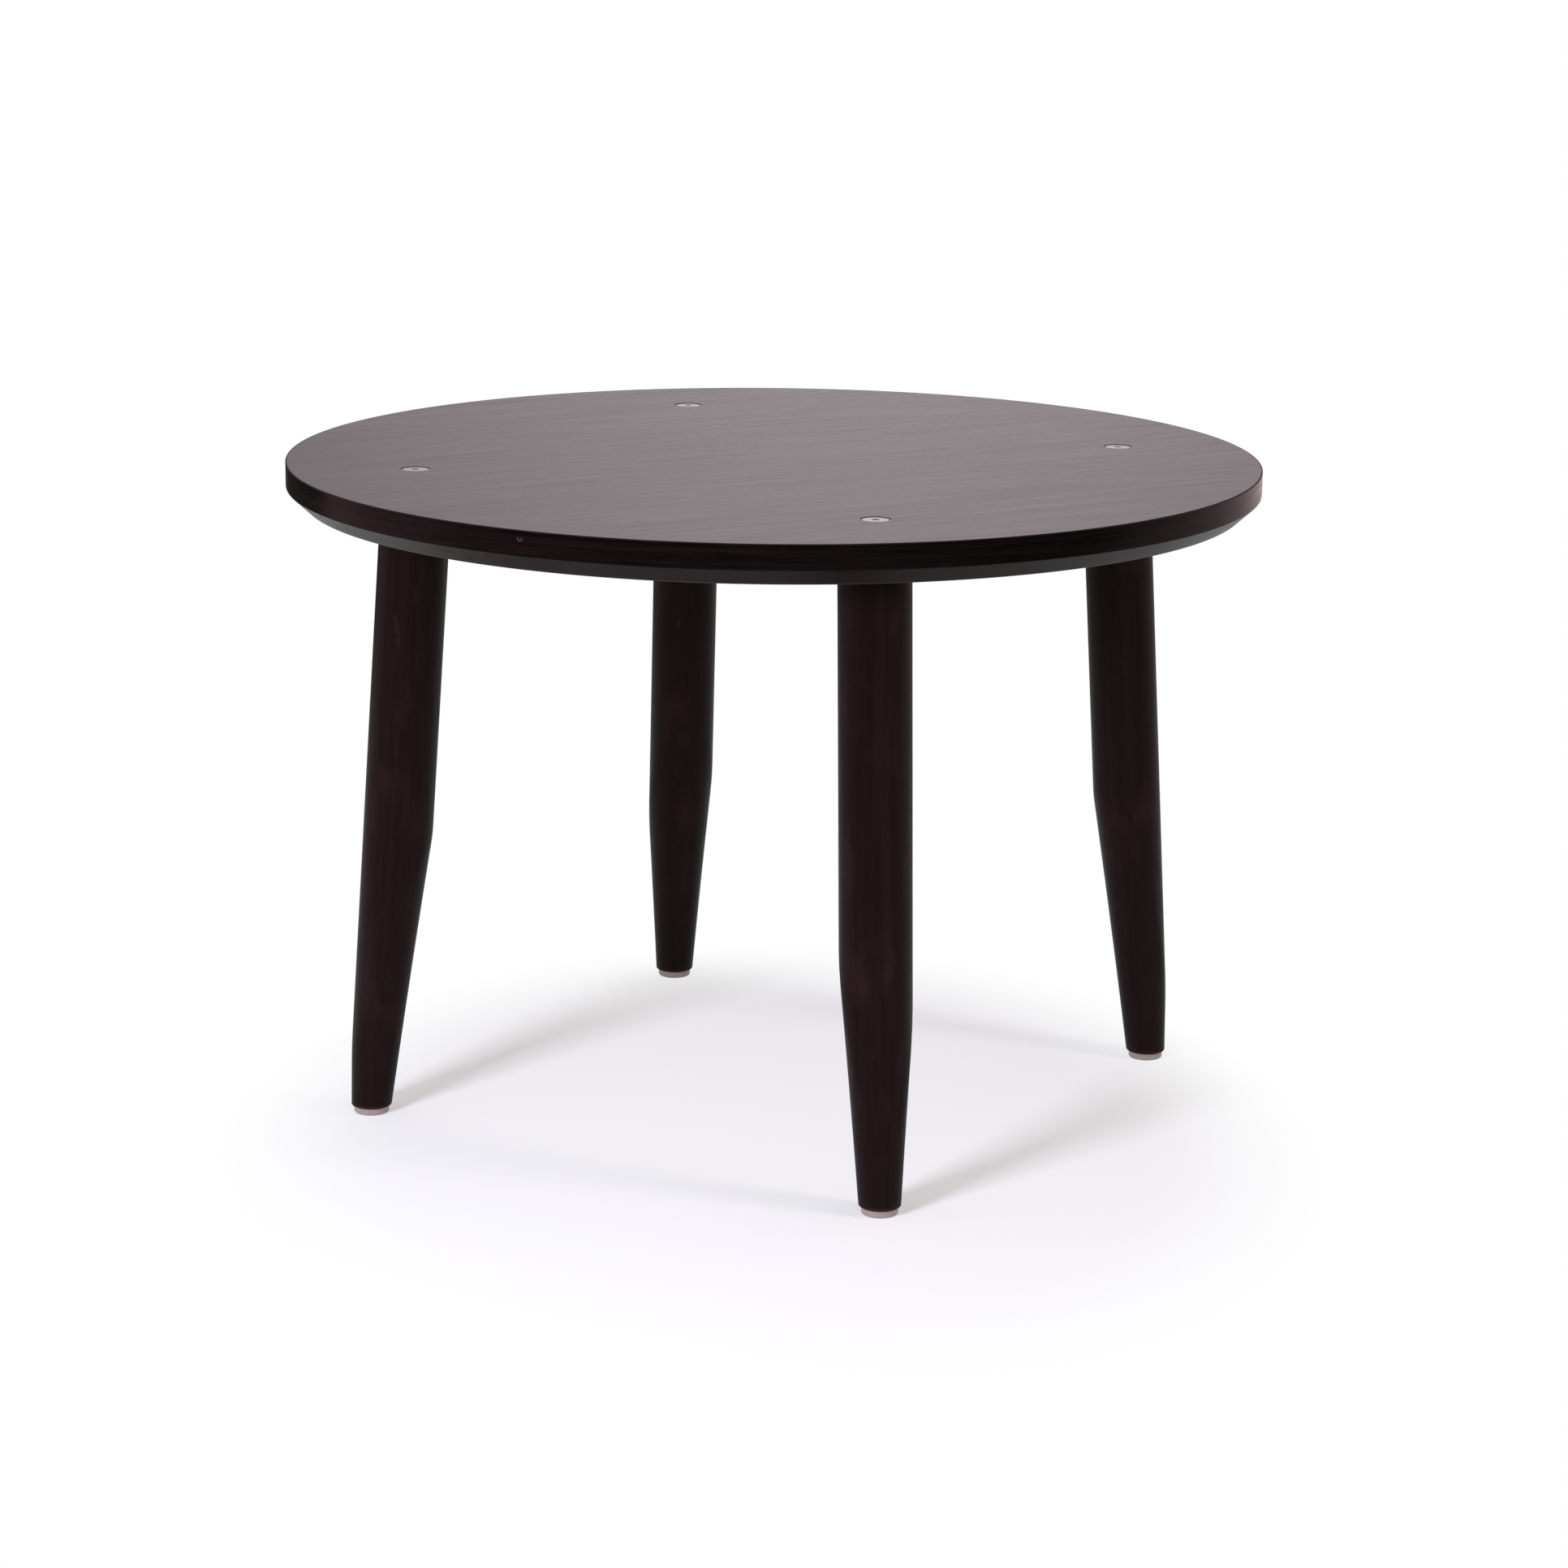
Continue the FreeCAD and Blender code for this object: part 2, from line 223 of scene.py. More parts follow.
def mesh_data(name, mesh):
    """A finished mesh as an object's data."""
    data = bpy.data.meshes.new(name)
    mesh.to_mesh(data)
    mesh.free()
    return data


def add_object(name, data):
    """A new object in the scene."""
    made = bpy.data.objects.new(name, data)
    bpy.context.scene.collection.objects.link(made)
    return made


def piece_from(mesh, name, material, node, place=Matrix.Identity(4), sharp=SHARP_ANGLE):
    """Finish a mesh as a piece that stands for a CAD node and rides with the table."""
    bmesh.ops.recalc_face_normals(mesh, faces=mesh.faces)
    data = mesh_data(name, mesh)
    data.shade_smooth()
    data.set_sharp_from_angle(angle=math.radians(sharp))
    data.materials.append(material)
    piece = add_object(name, data)
    piece.matrix_world = place
    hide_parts(node)
    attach(piece, "root")
    return piece


# Node trees


# How much each finer level of noise adds, and the range that most noise lies in
NOISE_ROUGHNESS = 0.55
NOISE_RANGE = (0.3, 0.7)


class Nodes:
    """Adds nodes to a tree. Inputs are numbers, colours or other nodes' sockets."""

    def __init__(self, tree):
        self.tree = tree

    def put(self, socket, value):
        if isinstance(value, bpy.types.NodeSocket):
            self.tree.links.new(value, socket)
        else:
            socket.default_value = value

    def add(self, kind, inputs, output=0, **settings):
        made = self.tree.nodes.new(f"ShaderNode{kind}")
        for name, value in settings.items():
            setattr(made, name, value)
        for key, value in inputs.items():
            self.put(made.inputs[key], value)
        return made.outputs[output]

    def place(self, kind="Object"):
        return self.add("TexCoord", {}, kind)

    def parts(self, vector):
        return self.add("SeparateXYZ", {0: vector}).node.outputs

    def math(self, operation, *values):
        return self.add("Math", dict(enumerate(values)), operation=operation)

    def total(self, *shares):
        """A weighted sum. shares holds (value, weight)."""
        result = 0.0
        for value, weight in shares:
            result = self.math("MULTIPLY_ADD", value, weight, result)
        return result

    def vector(self, operation, *values):
        output = "Value" if operation in ("LENGTH", "DOT_PRODUCT") else "Vector"
        return self.add("VectorMath", dict(enumerate(values)), output, operation=operation)

    def level(self, vector):
        """A vector without its height."""
        return self.vector("MULTIPLY", vector, (1, 1, 0))

    def noise(self, vector, detail):
        inputs = {"Vector": vector, "Scale": 1.0, "Detail": detail, "Roughness": NOISE_ROUGHNESS}
        return self.add("TexNoise", inputs)

    def cloud(self, size, detail):
        """Noise whose lumps are about as large as size in every direction."""
        return self.noise(self.vector("MULTIPLY", self.place(), [1 / size] * 3), detail)

    def between(self, value, low, high, to_low=0.0, to_high=1.0):
        inputs = {"Value": value, "From Min": low, "From Max": high, "To Min": to_low, "To Max": to_high}
        return self.add("MapRange", inputs, interpolation_type="SMOOTHSTEP")

    def uneven(self, noise, middle, spread):
        """A value that the noise takes up and down by the spread."""
        return self.between(noise, *NOISE_RANGE, middle - spread, middle + spread)

    def blend(self, factor, first, second):
        made = self.tree.nodes.new("ShaderNodeMix")
        made.data_type = "RGBA"
        for name, value in (("Factor_Float", factor), ("A_Color", first), ("B_Color", second)):
            self.put(next(socket for socket in made.inputs if socket.identifier == name), value)
        return next(socket for socket in made.outputs if socket.identifier == "Result_Color")

    def camera_rays(self):
        """1 for camera rays, and 0 for all others."""
        return self.add("LightPath", {}, "Is Camera Ray")

    def seen_rays(self):
        """1 for camera, glossy and transmission rays, and 0 for the rays that light the object."""
        path = self.add("LightPath", {}).node.outputs
        reflected = self.math("MAXIMUM", path["Is Glossy Ray"], path["Is Transmission Ray"])
        return self.math("MAXIMUM", path["Is Camera Ray"], reflected)


class Surface(Nodes):
    """A material with one main shader."""

    def __init__(self, name):
        self.material = bpy.data.materials.new(name)
        self.material.use_nodes = True
        super().__init__(self.material.node_tree)
        self.shader = self.tree.nodes["Principled BSDF"]

    def set(self, **values):
        for name, value in values.items():
            self.put(self.shader.inputs[name.replace("_", " ")], value)

    def bump(self, height, distance):
        self.set(Normal=self.add("Bump", {"Height": height, "Distance": distance}))


def linear(red, green, blue):
    """A colour that is given from 0 to 255 as a display shows it, by the sRGB curve."""
    def channel(value):
        value /= 255
        return value / 12.92 if value <= 0.04045 else ((value + 0.055) / 1.055) ** 2.4
    return (channel(red), channel(green), channel(blue), 1.0)


# Stained wood


# Stain colours: the dark and the light of the grain, and where it is worn. On the edge the last one also
# paints a glint on the chip's lip, and partly a warm reflection on the bevel
FACE_STAIN = (linear(48, 28, 32), linear(60, 37, 42), linear(22, 14, 15))
EDGE_STAIN = (linear(3, 2, 2), linear(18, 10, 10), linear(66, 52, 49))
LEG_STAIN = (linear(18, 7, 8), linear(24, 13, 14), linear(60, 34, 32))
BACKING_STAIN = (linear(36, 24, 24), linear(54, 38, 36), linear(76, 56, 52))
PORE_STAIN = linear(12, 8, 9)

# The direction of the face's grain, and how far the grain moves from one leg to the next
FACE_GRAIN = math.radians(60)
LEG_SHIFT = (0.31, 0.17, 0.0)

# What the grain is made of: the length of its marks, their width, and the detail of their noise
BANDS = (300 * MILLIMETRE, 14 * MILLIMETRE, 2)
STREAKS = (120 * MILLIMETRE, 2.8 * MILLIMETRE, 3)
FIBRES = (30 * MILLIMETRE, 0.7 * MILLIMETRE, 2)
PORES = (9 * MILLIMETRE, 0.35 * MILLIMETRE, 1)
# How much each adds to the tone, and the range of tone that goes from dark to light
BAND_SHARE = 0.35
STREAK_SHARE = 0.4
FIBRE_SHARE = 0.25
TONE_RANGE = (0.34, 0.66)
# Where the noise makes a pore, and what that does to the colour, the gloss and the relief
PORE_RANGE = (0.60, 0.70)
PORE_DARKNESS = 0.45
PORE_ROUGHNESS = 0.08
PORE_RELIEF = -1.0
FIBRE_RELIEF = 0.35
GLOSS_UNEVENNESS = 0.03

# Wear: its marks as above, where the noise makes one, and how strong it is
PATCHES = (50 * MILLIMETRE, 22 * MILLIMETRE, 2)
PATCH_RANGE = (0.52, 0.8)
PATCH_STRENGTH = 0.22
SCRAPES = (30 * MILLIMETRE, 7 * MILLIMETRE, 2)
SCRAPE_RANGE = (0.67, 0.8)
SCRAPE_STRENGTH = 0.25
FOOT_WEAR_HEIGHT = 3 * MILLIMETRE
FOOT_WEAR_STRENGTH = 0.7
RIM_WEAR_RADII = (RIM - 3 * EDGE_EASE, RIM - EDGE_EASE)
# The bevel's lighter, warmer stain: a thinner stain, and partly a painted warm reflection
BEVEL_STAIN_AND_REFLECTION = 0.09
BEVEL_DULLING = 0.42
WORN_ROUGHNESS = 0.36

# The chip in the edge, whose lip is painted lighter as a glint: its place, the distances from there at which
# its lip comes in and goes out, and the heights between which the painted glint fades
CHIP_AZIMUTH = math.radians(-88)
CHIP_HEIGHT = TOP - 4.5 * MILLIMETRE
CHIP_LIP_START = (0.6 * MILLIMETRE, 1.4 * MILLIMETRE)
CHIP_LIP_END = (1.6 * MILLIMETRE, 2.4 * MILLIMETRE)
CHIP_LIP_FADE = (-0.4 * MILLIMETRE, 0.8 * MILLIMETRE)
CHIP_GLINT_STRENGTH = 0.6


class Grain:
    """Where a point lies along and across the wood's fibres. along marks the axes that follow them."""

    def __init__(self, nodes, vector, along):
        self.nodes = nodes
        self.vector = vector
        self.along = along

    def noise(self, length, width, detail):
        scale = [1 / length if follows else 1 / width for follows in self.along]
        return self.nodes.noise(self.nodes.vector("MULTIPLY", self.vector, scale), detail)


def flat_grain(wood):
    """Fibres that run straight across the top."""
    turn = {"Vector": wood.place(), "Rotation": (0, 0, -FACE_GRAIN)}
    return Grain(wood, wood.add("Mapping", turn), (True, False, False))


def round_grain(wood):
    """Fibres that run round the rim. The height and the radius are both across them."""
    place = wood.place()
    level = wood.level(place)
    across = wood.math("SUBTRACT", wood.parts(place)["Z"], wood.vector("LENGTH", level))
    spoke = wood.parts(wood.vector("MULTIPLY", wood.vector("NORMALIZE", level), (RIM, RIM, 0)))
    vector = wood.add("CombineXYZ", {0: spoke["X"], 1: spoke["Y"], 2: across})
    return Grain(wood, vector, (True, True, False))


def leg_grain(wood):
    """Fibres along a leaning leg, whose object has the leg's plane as X and Z.
    The object's number gives each leg its own part of the grain."""
    place = wood.parts(wood.place())
    across = wood.math("MULTIPLY_ADD", place["Z"], math.tan(LEG_SPLAY), place["X"])
    upright = wood.add("CombineXYZ", {0: across, 1: place["Y"], 2: place["Z"]})
    number = wood.add("ObjectInfo", {}, "Object Index")
    shift = wood.add("VectorMath", {0: LEG_SHIFT, "Scale": number}, operation="SCALE")
    return Grain(wood, wood.vector("ADD", upright, shift), (False, False, True))


def scuffs(wood, grain):
    """Soft rubbed patches, and a few short scrapes along the grain."""
    patches = wood.between(grain.noise(*PATCHES), *PATCH_RANGE, 0.0, PATCH_STRENGTH)
    scrapes = wood.between(grain.noise(*SCRAPES), *SCRAPE_RANGE, 0.0, SCRAPE_STRENGTH)
    scuffed = wood.math("MAXIMUM", patches, scrapes)
    return scuffed, scuffed


def leg_wear(wood, grain):
    """Stain rubbed thin at the foot's edge, and scuffs along the leg."""
    height = wood.parts(wood.place())["Z"]
    foot = wood.between(height, FOOT, FOOT + FOOT_WEAR_HEIGHT, FOOT_WEAR_STRENGTH, 0.0)
    return [wood.math("MAXIMUM", foot, scuffed) for scuffed in scuffs(wood, grain)]


def rim_wear(wood, grain):
    """The face's eased edge, rubbed dull and dark with use."""
    radius = wood.vector("LENGTH", wood.level(wood.place()))
    rubbed = wood.between(radius, *RIM_WEAR_RADII)
    return rubbed, rubbed


def chip_lip_glint(wood):
    """One small chip, with a painted glint on its broken lower lip."""
    spot = (RIM * math.cos(CHIP_AZIMUTH), RIM * math.sin(CHIP_AZIMUTH), CHIP_HEIGHT)
    aside = wood.vector("SUBTRACT", wood.place(), spot)
    distance = wood.vector("LENGTH", aside)
    past_start = wood.between(distance, *CHIP_LIP_START)
    before_end = wood.between(distance, *CHIP_LIP_END, 1.0, 0.0)
    lower = wood.between(wood.parts(aside)["Z"], *CHIP_LIP_FADE, CHIP_GLINT_STRENGTH, 0.0)
    return wood.math("MULTIPLY", wood.math("MULTIPLY", past_start, before_end), lower)


def edge_wear_and_glint(wood, grain):
    """The chip, whose lip gets a painted glint, and the bevel, where the stain lies a little thinner and
    lighter, partly as a painted warm reflection, and the lacquer is dull.
    """
    height = wood.parts(wood.place())["Z"]
    bevel_top = TOP - EDGE_HEIGHT
    bevel = wood.between(height, bevel_top - BEVEL_EASE, bevel_top, 1.0, 0.0)
    chip = chip_lip_glint(wood)
    thinned_and_glint = wood.math("MAXIMUM", wood.math("MULTIPLY", bevel, BEVEL_STAIN_AND_REFLECTION), chip)
    dulled = wood.math("MAXIMUM", wood.math("MULTIPLY", bevel, BEVEL_DULLING), chip)
    return thinned_and_glint, dulled


def stained_wood(name, grain_of, stain, wear, ior, roughness, relief):
    """Open-pored wood under a dark stain and a thin satin lacquer. wear takes the wood and its grain,
    and gives two masks: where the stain is worn, which on the edge also paints a glint and partly a
    reflection, and where the lacquer is dull."""
    wood = Surface(name)
    grain = grain_of(wood)
    dark, light, worn = stain
    band = grain.noise(*BANDS)
    streak = grain.noise(*STREAKS)
    fibre = grain.noise(*FIBRES)
    pores = wood.between(grain.noise(*PORES), *PORE_RANGE)
    # On the edge the first mask also carries the chip's painted glint and part of the bevel's painted
    # reflection
    rubbed, dulled = wear(wood, grain)
    tone = wood.total((band, BAND_SHARE), (streak, STREAK_SHARE), (fibre, FIBRE_SHARE))
    colour = wood.blend(wood.between(tone, *TONE_RANGE), dark, light)
    colour = wood.blend(wood.math("MULTIPLY", pores, PORE_DARKNESS), colour, PORE_STAIN)
    wood.set(Base_Color=wood.blend(rubbed, colour, worn), IOR=ior)
    gloss = wood.uneven(streak, roughness, GLOSS_UNEVENNESS)
    wood.set(Roughness=wood.total((gloss, 1.0), (pores, PORE_ROUGHNESS), (dulled, WORN_ROUGHNESS)))
    wood.bump(wood.total((pores, PORE_RELIEF), (fibre, FIBRE_RELIEF)), relief)
    return wood.material


# Other materials


BOARD_DARK = linear(112, 80, 52)
BOARD_LIGHT = linear(176, 140, 100)
BOARD_FLECK = 1.6 * MILLIMETRE
BOARD_SPECK = 0.4 * MILLIMETRE
BOARD_FLECK_SHARE = 0.5
BOARD_ROUGHNESS = 0.85
BOARD_RELIEF = 0.1 * MILLIMETRE


def board_fibres():
    """Fine pressed fibreboard."""
    board = Surface("fibreboard")
    fleck = board.cloud(BOARD_FLECK, detail=4)
    speck = board.cloud(BOARD_SPECK, detail=2)
    tone = board.total((fleck, BOARD_FLECK_SHARE), (speck, 1 - BOARD_FLECK_SHARE))
    board.set(Base_Color=board.blend(tone, BOARD_DARK, BOARD_LIGHT), Roughness=BOARD_ROUGHNESS)
    board.bump(tone, BOARD_RELIEF)
    return board.material


# The rings that turning leaves in metal, and duller smears on it
TURNING_RING = 0.3 * MILLIMETRE
TURNING_RELIEF = 0.01 * MILLIMETRE
TURNING_UNEVENNESS = 0.08
SMEAR = 3 * MILLIMETRE
SMEAR_SHADE = 0.75


def turned_metal(name, colour, roughness):
    """Metal with the fine rings that turning leaves about the object's own axis."""
    metal = Surface(name)
    radius = metal.vector("LENGTH", metal.level(metal.place()))
    outwards = metal.add("CombineXYZ", {0: metal.math("DIVIDE", radius, TURNING_RING)})
    rings = metal.noise(outwards, detail=2)
    smear = metal.cloud(SMEAR, detail=3)
    dull = [part * SMEAR_SHADE for part in colour[:3]] + [1.0]
    metal.set(Base_Color=metal.blend(smear, dull, colour), Metallic=1.0)
    metal.set(Roughness=metal.uneven(rings, roughness, TURNING_UNEVENNESS))
    metal.bump(rings, TURNING_RELIEF)
    return metal.material


NYLON_DARK = linear(119, 104, 101)
NYLON_LIGHT = linear(147, 131, 127)
NYLON_CLOUD = 5 * MILLIMETRE
NYLON_ROUGHNESS = 0.465
NYLON_UNEVENNESS = 0.085
NYLON_TRANSLUCENCE = 0.2
NYLON_LIGHT_DEPTH = (4 * MILLIMETRE, 3 * MILLIMETRE, 3 * MILLIMETRE)
NYLON_GRAIN = 0.45 * MILLIMETRE
NYLON_RELIEF = 0.03 * MILLIMETRE


def nylon():
    """Cloudy nylon with a fine moulded grain. A little light goes into it."""
    plastic = Surface("glide_nylon")
    cloud = plastic.cloud(NYLON_CLOUD, detail=4)
    plastic.set(Base_Color=plastic.blend(cloud, NYLON_DARK, NYLON_LIGHT))
    plastic.set(Roughness=plastic.uneven(cloud, NYLON_ROUGHNESS, NYLON_UNEVENNESS))
    plastic.set(Subsurface_Weight=NYLON_TRANSLUCENCE)
    plastic.set(Subsurface_Radius=NYLON_LIGHT_DEPTH, Subsurface_Scale=1.0)
    plastic.bump(plastic.cloud(NYLON_GRAIN, detail=2), NYLON_RELIEF)
    return plastic.material


BEECH_DARK = linear(196, 152, 108)
BEECH_LIGHT = linear(222, 184, 140)
BEECH_FLECK = linear(150, 104, 70)
BEECH_STREAKS = (30 * MILLIMETRE, 0.8 * MILLIMETRE, 3)
BEECH_FLECKS = (3 * MILLIMETRE, 0.3 * MILLIMETRE, 1)
BEECH_FLECK_RANGE = (0.62, 0.7)
BEECH_FLECK_STRENGTH = 0.5
BEECH_ROUGHNESS = 0.7
BEECH_RELIEF = 0.05 * MILLIMETRE


def beech():
    """Raw beech with short dark flecks along its grain."""
    wood = Surface("dowel_beech")
    grain = Grain(wood, wood.place(), (False, False, True))
    streak = grain.noise(*BEECH_STREAKS)
    fleck = wood.between(grain.noise(*BEECH_FLECKS), *BEECH_FLECK_RANGE, 0.0, BEECH_FLECK_STRENGTH)
    colour = wood.blend(streak, BEECH_DARK, BEECH_LIGHT)
    wood.set(Base_Color=wood.blend(fleck, colour, BEECH_FLECK), Roughness=BEECH_ROUGHNESS)
    wood.bump(streak, BEECH_RELIEF)
    return wood.material


face_wood = stained_wood(
    "face_stain", flat_grain, FACE_STAIN, rim_wear, ior=1.30, roughness=0.24, relief=0.0015 * MILLIMETRE)
edge_wood = stained_wood(
    "edge_stain", round_grain, EDGE_STAIN, edge_wear_and_glint, ior=1.13, roughness=0.20, relief=0.01 * MILLIMETRE)
leg_wood = stained_wood(
    "leg_stain", leg_grain, LEG_STAIN, leg_wear, ior=1.14, roughness=0.42, relief=0.02 * MILLIMETRE)
backing_wood = stained_wood(
    "backing_stain", flat_grain, BACKING_STAIN, scuffs, ior=1.25, roughness=0.5, relief=0.06 * MILLIMETRE)
nickel = turned_metal("bolt_nickel", linear(222, 219, 216), roughness=0.32)
zinc = turned_metal("insert_zinc", linear(176, 170, 150), roughness=0.42)
steel = turned_metal("nail_steel", linear(150, 148, 146), roughness=0.4)
glide_nylon = nylon()
dowel_beech = beech()
fibreboard = board_fibres()


# The top


def over_legs(distance, hole_radius):
    """One hole over each leg, at a distance from the table's axis."""
    return [((distance * math.cos(turn), distance * math.sin(turn)), hole_radius)
            for turn in LEG_AZIMUTHS.values()]


def face_piece():
    profile = eased([(CORE.radius, TOP, 0), (RIM, TOP, EDGE_EASE), (RIM, FACE.base, 0)])[1:]
    mesh = drilled_disc(profile, over_legs(LEG_CIRCLE, HEAD_HOLE_RADIUS))
    piece_from(mesh, "top_face", face_wood, "face_veneer")


def lipping_piece():
    profile = eased([
        (CORE.radius, CORE.base, 0),
        (BACKING.radius, CORE.base, 0),
        (RIM, TOP - EDGE_HEIGHT, BEVEL_EASE),
        (RIM, CORE.top, 0),
        (CORE.radius, CORE.top, 0),
    ])
    mesh = turned(profile, RIM_SEGMENTS, closed=True)
    piece_from(mesh, "edge_ring", edge_wood, "edge_lipping")


def backing_piece():
    profile = [(BACKING.radius, CORE.base), (RIM - BEVEL_INSET, UNDERSIDE)]
    holes = over_legs(LEG_CIRCLE, BOLT_HOLE_RADIUS) + over_legs(DOWEL_CIRCLE, DOWEL_HOLE_RADIUS)
    mesh = drilled_disc(profile, holes)
    piece_from(mesh, "underside", backing_wood, "backing_veneer")


# The legs


LEG_RUN = UNDERSIDE - FOOT
FOOT_OFFSET = FOOT_CIRCLE - LEG_CIRCLE - LEG_RUN * math.tan(LEG_SPLAY)
TAPER_TOP_RADIUS = LEG_RADIUS + FOOT_OFFSET * (1 - TAPER_LENGTH / LEG_RUN)
LEG_LEVELS = 96
FOOT_LEVELS = 6


def softer_least(first, second, softness):
    """The lesser of two lengths, with the change from one to the other rounded off."""
    share = max(softness - abs(first - second), 0) / softness
    return min(first, second) - share * share * softness / 4


def to_circle(angle, offset, radius):
    """How far it is along an angle from a point to a circle whose centre lies offset along X from it."""
    across = offset * math.sin(angle)
    return offset * math.cos(angle) + math.sqrt(radius * radius - across * across)


def leg_section(height):
    """The leg's outline at a height: the straight blank, cut by the second turning's taper."""
    drop = UNDERSIDE - height
    blank_axis = LEG_CIRCLE + drop * math.tan(LEG_SPLAY)
    taper_axis = LEG_CIRCLE + drop * (FOOT_CIRCLE - LEG_CIRCLE) / LEG_RUN
    share = (height - FOOT) / TAPER_LENGTH
    taper_radius = FOOT_RADIUS + (TAPER_TOP_RADIUS - FOOT_RADIUS) * share
    if share < 1:
        taper_radius -= TAPER_HOLLOW * 4 * share * (1 - share)
    lift = min((height - FOOT) / FOOT_EASE, 1)
    inset = FOOT_EASE * (1 - math.sqrt(1 - (1 - lift) ** 2))

    def reach(angle):
        blank = to_circle(angle, blank_axis - taper_axis, LEG_RADIUS)
        return softer_least(blank, taper_radius, KINK_SOFTNESS) - inset
    return loop(reach, height, LEG_SEGMENTS, (taper_axis, 0))


def leg_heights():
    """Heights from the head to the foot, with the rounded foot's own levels last."""
    start = FOOT + FOOT_EASE
    for step in range(LEG_LEVELS + 1):
        yield UNDERSIDE + (start - UNDERSIDE) * step / LEG_LEVELS
    for step in range(1, FOOT_LEVELS + 1):
        yield FOOT + FOOT_EASE * (1 - math.sin(math.pi / 2 * step / FOOT_LEVELS))


def leg_piece(corner, number):
    mesh = bmesh.new()
    rings = [ring(mesh, leg_section(height)) for height in leg_heights()]
    skin(mesh, rings)
    insert_hole = blind_hole(mesh, LEG_CIRCLE, [
        (INSERT_HOLE_RADIUS, UNDERSIDE),
        (INSERT_HOLE_RADIUS, INSERT.base),
        (BOLT_HOLE_RADIUS, INSERT.base),
        (BOLT_HOLE_RADIUS, INSERT.base - RUNOUT_BELOW_INSERT),
    ])
    dowel_hole = blind_hole(mesh, DOWEL_CIRCLE, [
        (DOWEL_HOLE_RADIUS, UNDERSIDE),
        (DOWEL_HOLE_RADIUS, DOWEL.base - DOWEL_END_ROOM),
    ])
    nail_hole = blind_hole(mesh, FOOT_CIRCLE, [(NAIL_HOLE_RADIUS, FOOT), (NAIL_HOLE_RADIUS, NAIL.top)])
    flat_fill(mesh, [rings[0], insert_hole, dowel_hole])
    flat_fill(mesh, [rings[-1], nail_hole])
    swing = Matrix.Rotation(LEG_AZIMUTHS[corner], 4, "Z")
    piece = piece_from(mesh, f"turned_leg_{corner}", leg_wood, f"leg_{corner}", swing)
    piece.pass_index = number


# The bolts and their inserts


BOLT_RADIUS = 3 * MILLIMETRE
BOLT_TIP_EASE = 0.8 * MILLIMETRE
HEAD_HEIGHT = 2.5 * MILLIMETRE
HEAD_SEAT = BOLT.top - HEAD_HEIGHT
HEAD_CROWN = 0.15 * MILLIMETRE
HEAD_EASE = 0.5 * MILLIMETRE
SEAT_EASE = 0.15 * MILLIMETRE
SOCKET_ACROSS_FLATS = 4 * MILLIMETRE
SOCKET_DEPTH = 2.2 * MILLIMETRE
SOCKET_MOUTH_RADIUS = 2.5 * MILLIMETRE
SOCKET_CHAMFER = 0.3 * MILLIMETRE
PLAIN_SHANK = 18 * MILLIMETRE
THREAD_TOP = HEAD_SEAT - PLAIN_SHANK
THREAD_PITCH = 1 * MILLIMETRE
THREAD_DEPTH = 0.45 * MILLIMETRE
THREAD_STEPS = 6
INSERT_BORE_RADIUS = 3.05 * MILLIMETRE
INSERT_BARBS = 5
BARB_DEPTH = 0.7 * MILLIMETRE
BARB_EASE = 0.15 * MILLIMETRE
# How far each bolt is turned about its axis
BOLT_TURNS = (17, 41, 8, 29)
# Less than the socket's chamfer turns, and more than one step of a rounded corner
BOLT_SHARP_ANGLE = 20


def hexagon(across_flats):
    """The outline of a hex socket."""
    side = math.pi / 3
    return lambda angle: across_flats / 2 / math.cos(angle % side - side / 2)


def thread(radius, depth, height):
    """The outline of a right-hand thread at a height, between radius and radius plus depth."""
    def reach(angle):
        turn = height / THREAD_PITCH - angle / (2 * math.pi)
        return radius + depth * abs(2 * (turn % 1) - 1)
    return reach


def levels(start, end):
    """Heights that are close enough together to show a thread."""
    count = round(abs(end - start) / THREAD_PITCH * THREAD_STEPS)
    return [start + (end - start) * step / count for step in range(count + 1)]


def bolt_piece(corner, turn):
    socket = hexagon(SOCKET_ACROSS_FLATS)
    sections = [(socket, BOLT.top - SOCKET_DEPTH), (socket, BOLT.top - SOCKET_CHAMFER)]
    sections += eased([
        (SOCKET_MOUTH_RADIUS, BOLT.top, 0),
        (BOLT.radius, BOLT.top - HEAD_CROWN, HEAD_EASE),
        (BOLT.radius, HEAD_SEAT, SEAT_EASE),
        (BOLT_RADIUS, HEAD_SEAT, 0),
    ])
    for height in levels(THREAD_TOP, BOLT.base + BOLT_TIP_EASE):
        run_in = min((THREAD_TOP - height) / THREAD_PITCH, 1)
        sections.append((thread(BOLT_RADIUS, -THREAD_DEPTH * run_in, height), height))
    sections.append((BOLT_RADIUS - BOLT_TIP_EASE, BOLT.base))
    mesh = turned(sections, SMALL_SEGMENTS)
    node = f"leg_bolt_{corner}"
    place = Span(node).place @ Matrix.Rotation(math.radians(turn), 4, "Z")
    piece_from(mesh, f"bolt_{corner}", nickel, node, place, BOLT_SHARP_ANGLE)


def insert_piece(corner):
    sections = [(thread(INSERT_BORE_RADIUS, THREAD_DEPTH, height), height)
                for height in levels(INSERT.base, INSERT.top)]
    pitch = (INSERT.top - INSERT.base) / INSERT_BARBS
    for barb in range(INSERT_BARBS):
        start = INSERT.top - barb * pitch
        sections.append((INSERT.radius - BARB_EASE, start))
        sections.append((INSERT.radius, start - BARB_EASE))
        sections.append((INSERT.radius - BARB_DEPTH, start - pitch))
    mesh = turned(sections, SMALL_SEGMENTS, closed=True)
    node = f"leg_insert_{corner}"
    piece_from(mesh, f"insert_{corner}", zinc, node, Span(node).place)


# The dowels


